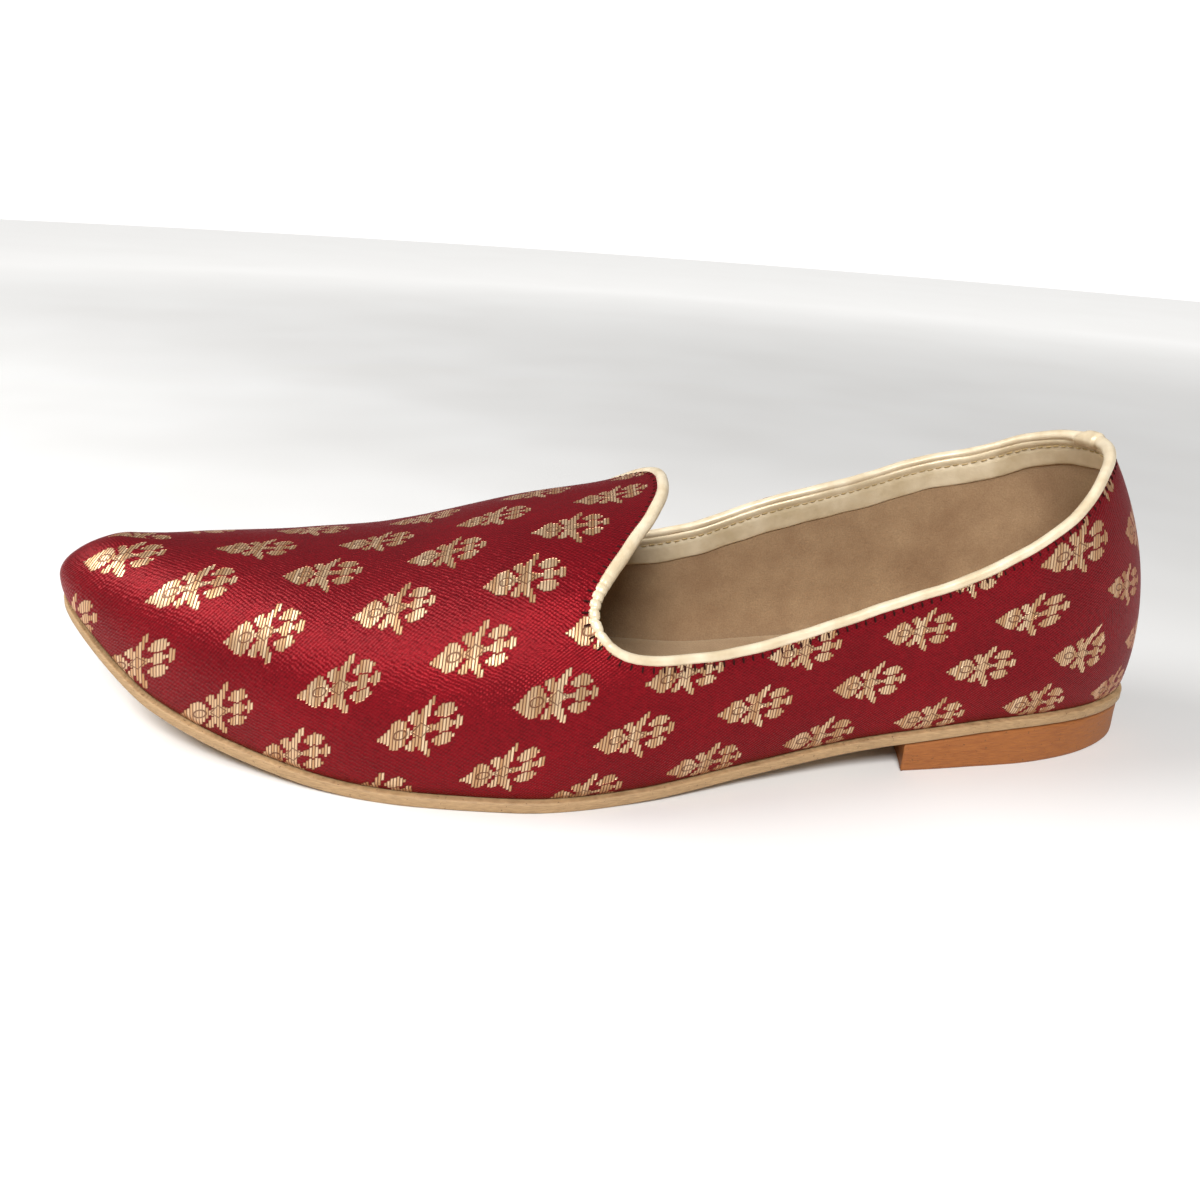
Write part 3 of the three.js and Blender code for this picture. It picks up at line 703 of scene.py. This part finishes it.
# Distance of points from a line of points, and the line's running length at the nearest one
def nearestOnLine(points, line, length):
    flat = points.reshape(-1, 3).astype(np.float32)
    distance, run = np.empty(len(flat)), np.empty(len(flat))
    atOnce = 6000
    for start in range(0, len(flat), atOnce):
        part = slice(start, start + atOnce)
        apart = ((flat[part][:, None] - line[None].astype(np.float32)) ** 2).sum(-1)
        distance[part] = np.sqrt(apart.min(1))
        run[part] = length[apart.argmin(1)]
    return distance.reshape(points.shape[:-1]), run.reshape(points.shape[:-1])


# The edge stitches of the upper in millimetres, with the groove that they pull into it. Their near-black
# colours are partly the dark red thread and partly painted shade of the stitch holes.
upperStitch = {
    "pitch": 2.4, "distance": 1.95, "length": 1.7, "radius": 0.24, "groove": 0.4, "grooveWidth": 1.1,
    "pale": "#3C100C", "deep": "#1E0806",
}


# The brocade: the last's surface, sunk by creases, by the stitches' pull and by a notch at the seam
def buildUpper():
    counts = (470, 10, 80)  # stations, rings below the belly, rings up to the ridge
    at, height, side = formGrid(*counts, 0.0)
    smooth = surface(at, height, side)
    inwards = unit(surface(at, height, side, 1.0) - smooth)
    _, _, _, line, length = collarLoop(700)
    distance, run = nearestOnLine(smooth, line, length)
    offset = (distance - upperStitch["distance"]) / upperStitch["grooveWidth"]
    puckers = 0.8 + 0.2 * np.cos(2 * np.pi * run / upperStitch["pitch"])
    pull = upperStitch["groove"] * np.exp(-(offset**2)) * puckers
    notch = shoe["seamNotch"] * np.exp(-((height / shoe["seamNotchHeight"]) ** 2))
    sunk = creaseDepth(at, height, side) + pull + notch
    points = smooth + inwards * sunk[..., None]
    uv = clothPlaces(smooth, at, side)
    quads = closedBelowTopline(*counts)
    piece = addMesh("upperBrocade", points.reshape(-1, 3), quads[:, ::-1], uv.reshape(-1, 2))
    fill(piece, zariBrocade())
    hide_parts("upper")


lining = {"deep": "#957555", "pale": "#B2936F"}


# The lining: the same surface, one wall further in
def buildLining():
    counts = (300, 8, 50)  # as for the brocade, but coarser
    at, height, side = formGrid(*counts, shoe["wall"])
    points = surface(at, height, side, shoe["wall"])
    piece = addMesh("upperLining", points.reshape(-1, 3), closedBelowTopline(*counts))
    fill(piece, microsuede("liningMicrosuede", lining))


# The binding in millimetres: its oval, the pleats at the throat corners and the lap at the back
binding = {
    "halfWidth": 1.6, "halfHeight": 1.5, "pleatPitch": 2.6, "pleatDepth": 0.6, "cornerReach": 7.0,
    "slim": 0.2, "lapLength": 6.0, "lapRise": 0.8, "lapSlant": 2.2, "squareness": 0.85,
    "deep": "#D8C4A2", "pale": "#EFE0C4", "grain": 0.8,
}


# The frame of the collar at each step: along it, out of the wall, and up over its edge
def collarFrame(count):
    at, height, side, points, length = collarLoop(count)
    stationTurn, turn = turnsOf(at, height, side, shoe["wall"] / 2)
    along = unit(np.roll(points, -1, 0) - np.roll(points, 1, 0))
    outwards = archPlace(stationTurn, turn, 0.0) - archPlace(stationTurn, turn, 2.0)
    for _ in range(int(count / 200)):
        along = unit(np.roll(along, 1, 0) + along + np.roll(along, -1, 0))
        outwards = unit(np.roll(outwards, 1, 0) + outwards + np.roll(outwards, -1, 0))
    outwards = unit(outwards - (outwards * along).sum(-1, keepdims=True) * along)
    return stationTurn, turn, points, length, along, outwards, np.cross(along, outwards)


# The rolled binding: an oval carried round the collar. Its edge is gathered at both throat
# corners, and its end laps over its start with a slanting edge at the middle of the back.
def buildBinding():
    count, around = 1500, 28
    stationTurn, _, points, length, along, outwards, up = collarFrame(count)
    at = (1 - np.cos(stationTurn)) / 2
    total = length[-1] + length[1]
    angle = np.linspace(0, 2 * np.pi, around, endpoint=False)[None, :]
    run = length[:, None]
    first = length[np.argmax(at[: count // 2])]
    second = length[count // 2 + np.argmax(at[count // 2 :])]
    corner = sum(np.exp(-(((length - centre) / binding["cornerReach"]) ** 2)) for centre in (first, second))
    wander = np.pi * run / binding["pleatPitch"] + 0.9 * np.sin(run / 3.1)
    pleats = np.exp(-((np.sin(wander + 0.25 * np.sin(angle)) / 0.4) ** 2))
    gathered = binding["pleatDepth"] * corner[:, None] * pleats
    ripple = 0.07 * np.sin(run / 4.7 + 1.3 * np.sin(angle)) + 0.05 * np.sin(run / 1.9 + angle)
    fromEnd = total - run + binding["lapSlant"] * np.cos(angle)
    lap = binding["lapRise"] * np.clip((binding["lapLength"] - fromEnd) / 0.5, 0, 1)
    taper = np.clip(1 - run / 1.2, 0, 1) * binding["lapRise"]
    onTongue = (0.5 + 0.5 * np.tanh((run - first) / 6)) * (0.5 - 0.5 * np.tanh((run - second) / 6))
    atBack = np.exp(-((np.minimum(run, total - run) / 18) ** 2))
    radius = 1 + (ripple - gathered + lap + taper) / 2 - binding["slim"] * (1 - onTongue) * (1 - atBack)
    c, s = np.cos(angle), np.sin(angle)
    out = binding["halfWidth"] * np.sign(c) * np.abs(c) ** binding["squareness"] * radius
    rise = binding["halfHeight"] * np.sign(s) * np.abs(s) ** binding["squareness"] * radius
    surfacePoints = points[:, None] + out[..., None] * outwards[:, None] + rise[..., None] * up[:, None]
    piece = addMesh("toplinePiping", surfacePoints.reshape(-1, 3), gridQuads(count, around, True, True))
    fill(piece, creamLeather("creamSheepskinRolled", binding))
    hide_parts("topline_binding")


# Lines on the upper at growing distances from the collar, one column of turns for each distance:
# every step goes straight on in the surface, away from the opening
def belowCollar(count, distances):
    stationTurn, turn, _, _, _, _, up = collarFrame(count)
    heading = -up
    inset = shoe["wall"] / 2
    longestStep, small = 0.7, 1e-4
    here = np.zeros(count)
    columns = []
    for column in range(distances.shape[1]):
        steps = max(1, int(np.ceil((distances[:, column] - here).max() / longestStep)))
        step = (distances[:, column] - here) / steps
        for _ in range(steps):
            lowStation, highStation = np.maximum(stationTurn - small, 0), stationTurn + small
            alongShoe = archPlace(highStation, turn, inset) - archPlace(lowStation, turn, inset)
            alongShoe /= (highStation - lowStation)[:, None]
            overShoe = archPlace(stationTurn, turn + small, inset)
            overShoe = (overShoe - archPlace(stationTurn, turn - small, inset)) / (2 * small)
            a, b, c = ((first * second).sum(-1) for first, second in
                       ((alongShoe, alongShoe), (alongShoe, overShoe), (overShoe, overShoe)))
            p, q = (heading * alongShoe).sum(-1), (heading * overShoe).sum(-1)
            determinant = np.maximum(a * c - b * b, 1e-6)
            moveStation, moveTurn = (p * c - q * b) / determinant, (q * a - p * b) / determinant
            moved = moveStation[:, None] * alongShoe + moveTurn[:, None] * overShoe
            size = np.maximum(np.linalg.norm(moved, axis=-1), 1e-6)
            heading = moved / size[:, None]
            stationTurn = np.maximum(stationTurn + moveStation * step / size, 0)
            turn = turn + moveTurn * step / size
        here = distances[:, column]
        columns.append((stationTurn, turn))
    return np.stack([c[0] for c in columns], -1), np.stack([c[1] for c in columns], -1)


# The facing's section: shares of the way across it, and how proud it stands there, with a dip at
# the stitches
facing = {
    "across": [0.0, 0.001, 0.08, 0.16, 0.22, 0.26, 0.3, 0.35, 0.45, 0.6, 0.8, 0.92, 0.97, 1.0, 1.001],
    "proud": [0.1, 0.6, 0.9, 0.85, 0.5, 0.3, 0.5, 0.85, 1.0, 0.9, 0.95, 0.9, 0.75, 0.5, 0.05],
    "start": 0.4, "underBinding": 1.2, "thickness": 0.55, "clear": 0.05,
    "deep": "#C9B592", "pale": "#E0CFB0", "grain": 0.7,
}


# The cream strip inside the collar: its edges are turned in, and its lower edge waves a little
def buildFacing():
    count = 900
    _, _, _, _, length = collarLoop(count)
    across, proud = (np.array(facing[key])[None, :] for key in ("across", "proud"))
    wave = 0.12 * np.sin(length / 5.3)[:, None] + 0.1 * np.sin(length / 2.1)[:, None]
    distances = facing["start"] + across * (shoe["facingWidth"] + facing["underBinding"] + wave)
    stationTurn, turn = belowCollar(count, distances)
    points = archPlace(stationTurn, turn, shoe["wall"] + facing["clear"] + proud * facing["thickness"])
    quads = gridQuads(count, across.shape[1], True, False)
    piece = addMesh("collarFacingStrip", points.reshape(-1, 3), quads)
    fill(piece, creamLeather("creamSheepskinFlat", facing))
    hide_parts("collar_facing")


# A row of short stitches: each is a bent capsule, r = radius * sqrt(1 - u^4) round an arc
def addStitches(name, places, tangents, normals, stitch, material):
    length, radius = stitch["length"], stitch["radius"]
    bends, around = 9, 7
    u = np.linspace(-1, 1, bends)[None, :, None, None]
    angle = np.linspace(0, 2 * np.pi, around, endpoint=False)[None, None, :, None]
    upwards, sideways = normals[:, None, None], np.cross(tangents, normals)[:, None, None]
    centre = places[:, None, None] + tangents[:, None, None] * u * length / 2
    centre = centre + upwards * (1 - u**2) * radius * 0.9
    thick = radius * np.sqrt(np.clip(1 - u**4, 0.02, 1))
    points = centre + thick * (np.cos(angle) * upwards + np.sin(angle) * sideways)
    one = gridQuads(bends, around, False, True)
    quads = (one[None] + (np.arange(len(places)) * bends * around)[:, None, None]).reshape(-1, 4)
    piece = addMesh(name, points.reshape(-1, 3), quads)
    fill(piece, material)
    return piece


# Places, directions and normals for stitches at an even pitch beside the collar, picked from a
# line of finer steps
def stitchLine(pitch, distance, inset, outwardSign):
    finer = 4
    length = collarLoop(800)[4]
    count = int(length[-1] / pitch) * finer
    stationTurn, turn = belowCollar(count, np.full((count, 1), distance))
    line = archPlace(stationTurn, turn, inset)[:, 0]
    deeper = archPlace(stationTurn, turn, inset + 1.0)[:, 0]
    along = unit(np.roll(line, -1, 0) - np.roll(line, 1, 0))
    return line[::finer], along[::finer], unit(line - deeper)[::finer] * outwardSign


facingStitch = {
    "pitch": 2.5, "distance": 2.5, "length": 1.9, "radius": 0.2, "scallop": 0.12,
    "pale": "#C8AE7C", "deep": "#8C7348",
}


# The stitches of the upper lie across its edge. Those of the facing lie along it, one to each side
# by turns.
def buildStitches():
    depth = upperStitch["groove"] * 0.9
    places, along, normal = stitchLine(upperStitch["pitch"], upperStitch["distance"], depth, 1)
    # near-black thread: partly its own dark red, partly painted shade of the stitch holes
    thread = cottonThread("redThreadDarkenedForHoleShade", upperStitch)
    outside = addStitches("edgeStitches", places, np.cross(along, normal), normal, upperStitch, thread)
    depth = shoe["wall"] + 0.42
    places, along, normal = stitchLine(facingStitch["pitch"], facingStitch["distance"], depth, -1)
    thread = cottonThread("creamCottonThread", facingStitch)
    sign = np.where(np.arange(len(places)) % 2, 1, -1)[:, None]
    places = places + np.cross(along, normal) * facingStitch["scallop"] * sign
    inside = addStitches("facingStitches", places, along, normal, facingStitch, thread)


# Points of the seam's outline in plan, moved outwards by an offset
def outline(step, side, offset):
    turn = np.pi * np.asarray(step, float)

    def place(angle):
        at = (1 - np.cos(angle)) / 2
        return np.stack([seamX(at), side * seamHalfWidth(at, side)], -1)

    direction = unit(place(np.minimum(turn + 0.01, np.pi)) - place(np.maximum(turn - 0.01, 0)))
    outwards = np.stack([-direction[..., 1], direction[..., 0]], -1) * side
    ends = (turn < 1e-6) | (turn > np.pi - 1e-6)
    outwards = np.where(ends[..., None], np.stack([np.where(turn < 1, -1.0, 1.0), 0 * turn], -1), outwards)
    moved = place(turn) + outwards * offset
    return np.stack([moved[..., 0], np.where(ends, 0, moved[..., 1])], -1)


# A board on the outline with a profile of (offset, height) round its edge, joined across
def board(name, profile, bottom, thickness, toeSetBack=0.0):
    steps = np.linspace(0, 1, 241)
    setBack = toeSetBack * np.clip((steps - 0.75) / 0.25, 0, 1)[:, None] ** 2
    rings = []
    for side, rows in ((outerSide, profile), (innerSide, profile[::-1])):
        for offset, share in rows:
            plan = outline(steps, side, offset - setBack)  # drawn in over the last quarter
            rings.append(np.c_[plan, bottom(plan[:, 0]) + share * thickness])
    points = np.stack(rings, 1)
    quads = gridQuads(points.shape[0], points.shape[1], False, True)
    return addMesh(name, points.reshape(-1, 3), quads[:, ::-1])


outsole = {"deep": "#8E6F4A", "pale": "#BC9A70", "layer": 2.2}


# The outsole: its edge is rounded at both arrises and slightly waisted
def buildOutsole():
    edge = shoe["soleExtension"]
    profile = [(-4, 0), (edge - 0.45, 0), (edge - 0.12, 0.06), (edge, 0.2), (edge - 0.04, 0.5), (edge, 0.8),
               (edge - 0.15, 0.95), (edge - 0.5, 1), (-4, 1)]
    piece = board("outsoleBoard", profile, soleBottom, shoe["soleThickness"], shoe["soleTipSetBack"])
    fill(piece, leatherBoard("outsoleLeatherBoard", outsole))
    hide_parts("outsole")


insole = {"deep": "#A38565", "pale": "#BC9F7D"}


# The insole: soft rounded edge, lying on the outsole inside the wall
def buildInsole():
    edge = -shoe["wall"] - shoe["clearance"]
    profile = [(edge - 6, 0), (edge - 0.4, 0), (edge, 0.2), (edge, 0.6), (edge - 0.3, 0.9),
               (edge - 1.2, 1.05), (edge - 4, 1.0), (edge - 7, 0.96)]
    piece = board("insoleSock", profile, lambda x: soleTop(x) + shoe["clearance"], shoe["insoleThickness"])
    fill(piece, microsuede("insoleMicrosuede", insole))
    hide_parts("insole")


# The heel's section from the floor up: how far its edge stands out, and the share of its height
heel = {
    "levels": [(-2.0, 0.0), (-0.35, 0.0), (-0.08, 0.03), (0.0, 0.1), (-0.1, 0.5), (-0.05, 0.85), (-0.12, 1.0),
               (-2.0, 1.0)],
    "deep": "#864816", "pale": "#A6652E", "layer": 3.0,
}


# The heel block: the outline of the seat, closed by a hollow breast, between floor and sole
def buildHeel():
    offset = shoe["soleExtension"] - shoe["heelInset"]
    alongSeat, alongBreast = 110, 60
    steps = np.linspace(0, 0.5, 400)
    outer = outline(steps, outerSide, offset)
    inner = outline(steps, innerSide, offset)
    outer = outer[outer[:, 0] <= shoe["heelLength"]]
    inner = inner[inner[:, 0] <= shoe["heelLength"]]
    outer[-1, 0] = inner[-1, 0] = shoe["heelLength"]
    u = np.linspace(0, 1, alongBreast)[:, None]
    middle = np.array([[shoe["heelLength"] - 2 * shoe["breastDepth"], (outer[-1, 1] + inner[-1, 1]) / 2]])
    breast = (1 - u) ** 2 * outer[-1:] + 2 * u * (1 - u) * middle + u**2 * inner[-1:]
    loop = np.vstack([evenly(outer, alongSeat), breast[1:-1], evenly(inner[::-1], alongSeat)[:-1]])
    direction = unit(np.roll(loop, -1, 0) - np.roll(loop, 1, 0))
    outwards = np.stack([direction[:, 1], -direction[:, 0]], -1)
    centre = np.array([[shoe["heelLength"] / 2 - 4, 0.0]])
    if ((outwards * (loop - centre)).sum(-1)).mean() < 0:
        outwards = -outwards
    rings = []
    for out, share in heel["levels"]:
        plan = loop + outwards * out
        top = soleBottom(np.maximum(plan[:, 0], 0)) - shoe["clearance"]
        rings.append(np.c_[plan, top * share])
    points = np.stack(rings, 1)
    count, high = points.shape[:2]
    bottomMiddle = np.array([[centre[0, 0], 0.0, 0.0]])
    topMiddle = np.array([[centre[0, 0], 0.0, float(soleBottom(centre[0, 0])) - shoe["clearance"]]])
    everything = np.vstack([points.reshape(-1, 3), bottomMiddle, topMiddle])
    quads = gridQuads(count, high, True, False)
    here = np.arange(count)
    after = (here + 1) % count
    hub = np.full(count, count * high)
    last = high - 1
    lowFan = np.stack([here * high, after * high, hub], -1)
    highFan = np.stack([after * high + last, here * high + last, hub + 1], -1)
    triangles = np.vstack([quads[:, [0, 1, 2]], quads[:, [0, 2, 3]], lowFan, highFan])
    piece = addMesh("heelBoards", everything, triangles[:, ::-1])
    fill(piece, leatherBoard("heelLeatherBoard", heel))
    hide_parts("heel_block")


# Floor, backdrop and lights, in metres and watts. The floor glows more with distance, so that it
# runs out into white.
stageSettings = {
    "floor": "#E2E0DD", "paleFloor": "#FAFAF9",
    "glow": "#F6F5F3", "glowFrom": 0.35, "glowTo": 1.5, "glowMost": 0.74,
    "sky": "#FFFFFF", "skyStrength": 0.2, "backdropRadius": 2.9, "backdropHeight": 1.6, "backdropSides": 96,
    "lights": [
        {"name": "softKey", "place": (0.1, 0.76, 0.8), "size": 0.4, "power": 12.0},
        {"name": "softToe", "place": (0.75, -0.1, 0.75), "size": 0.6, "power": 7.6},
    ],
}
# The camera's place in the shoe's own axes in millimetres, its turns in degrees, its focal length
# and the height of its axis in the picture, in the photograph's pixels
cameraSettings = {
    "place": (181.8, 266.3, 131.1), "yaw": -6.56, "pitch": 18.41, "roll": 3.99,
    "focal": 1066.8, "axisHeight": 560.6, "picture": 1200,
}


def buildStage():
    bpy.ops.mesh.primitive_plane_add(size=6, location=(0, 0, 0))
    floor = bpy.context.object
    floor.name = "floor"
    material, shader, add = newMaterial("paleFloor")
    spot = add("TexCoord", output="Object")
    patchy = add("TexNoise", grain(spot, 180, 2.0))
    plain, pale, glow = (linear(stageSettings[key]) for key in ("floor", "paleFloor", "glow"))
    far = add("VectorMath.LENGTH", spot, output="Value")
    near, distant, most = (stageSettings[key] for key in ("glowFrom", "glowTo", "glowMost"))
    setInputs(shader, {
        "Base Color": add("Mix", tones(patchy, plain, pale), **asColour),
        "Roughness": 0.6,
        "Emission Color": glow,
        "Emission Strength": add("MapRange", far, near, distant, 0.0, most),
    })
    floor.data.materials.append(material)
    sides = stageSettings["backdropSides"]
    turn = np.linspace(0, 2 * np.pi, sides, endpoint=False)
    ring = stageSettings["backdropRadius"] * np.stack([np.cos(turn), np.sin(turn), 0 * turn], -1)
    sheet = bpy.data.meshes.new("backdrop")
    raised = ring + [0, 0, stageSettings["backdropHeight"]]
    sheet.from_pydata(np.vstack([ring, raised]).tolist(), [], gridQuads(2, sides, False, True).tolist())
    backdrop = bpy.data.objects.new("backdrop", sheet)
    backdrop.data.materials.append(material)
    bpy.context.scene.collection.objects.link(backdrop)
    backdrop.visible_diffuse = backdrop.visible_glossy = False  # seen, but it casts no light on the shoe
    world = bpy.data.worlds.new("studio")
    world.use_nodes = True
    background = world.node_tree.nodes["Background"]
    background.inputs["Color"].default_value = linear(stageSettings["sky"])
    background.inputs["Strength"].default_value = stageSettings["skyStrength"]
    bpy.context.scene.world = world
    bpy.context.scene.view_settings.view_transform = "Standard"
    for settings in stageSettings["lights"]:
        data = bpy.data.lights.new(settings["name"], "AREA")
        data.shape = "DISK"
        data.size = settings["size"]
        data.energy = settings["power"]
        lamp = bpy.data.objects.new(settings["name"], data)
        lamp.location = settings["place"]
        lamp.rotation_euler = (-Vector(settings["place"])).to_track_quat("-Z", "Y").to_euler()
        bpy.context.scene.collection.objects.link(lamp)


def buildCamera():
    settings = cameraSettings
    yaw, pitch, roll = (math.radians(settings[key]) for key in ("yaw", "pitch", "roll"))
    forwards = np.array([math.sin(yaw) * math.cos(pitch), -math.cos(yaw) * math.cos(pitch), -math.sin(pitch)])
    right = unit(np.cross(forwards, [0, 0, 1]))
    up = np.cross(right, forwards)
    turnedRight = math.cos(roll) * right + math.sin(roll) * up
    turnedUp = math.cos(roll) * up - math.sin(roll) * right
    data = bpy.data.cameras.new("camera")
    data.sensor_fit = "HORIZONTAL"
    data.sensor_width = 36
    data.lens = data.sensor_width * settings["focal"] / settings["picture"]
    data.shift_y = (settings["axisHeight"] - settings["picture"] / 2) / settings["picture"]
    data.clip_start = 0.01
    camera = bpy.data.objects.new("camera", data)
    bpy.context.scene.collection.objects.link(camera)
    matrix = np.eye(4)
    matrix[:3, 0], matrix[:3, 1], matrix[:3, 2] = turnedRight, turnedUp, -forwards
    matrix[:3, 3] = (np.array(settings["place"]) + toFrame) * mm
    camera.matrix_world = Matrix(matrix.tolist())
    bpy.context.scene.camera = camera


buildStage()
buildCamera()
print("stage and camera made")
buildUpper()
buildLining()
print("upper and lining made")
buildBinding()
buildFacing()
buildStitches()
print("collar made")
buildOutsole()
buildInsole()
buildHeel()
print("sole made")
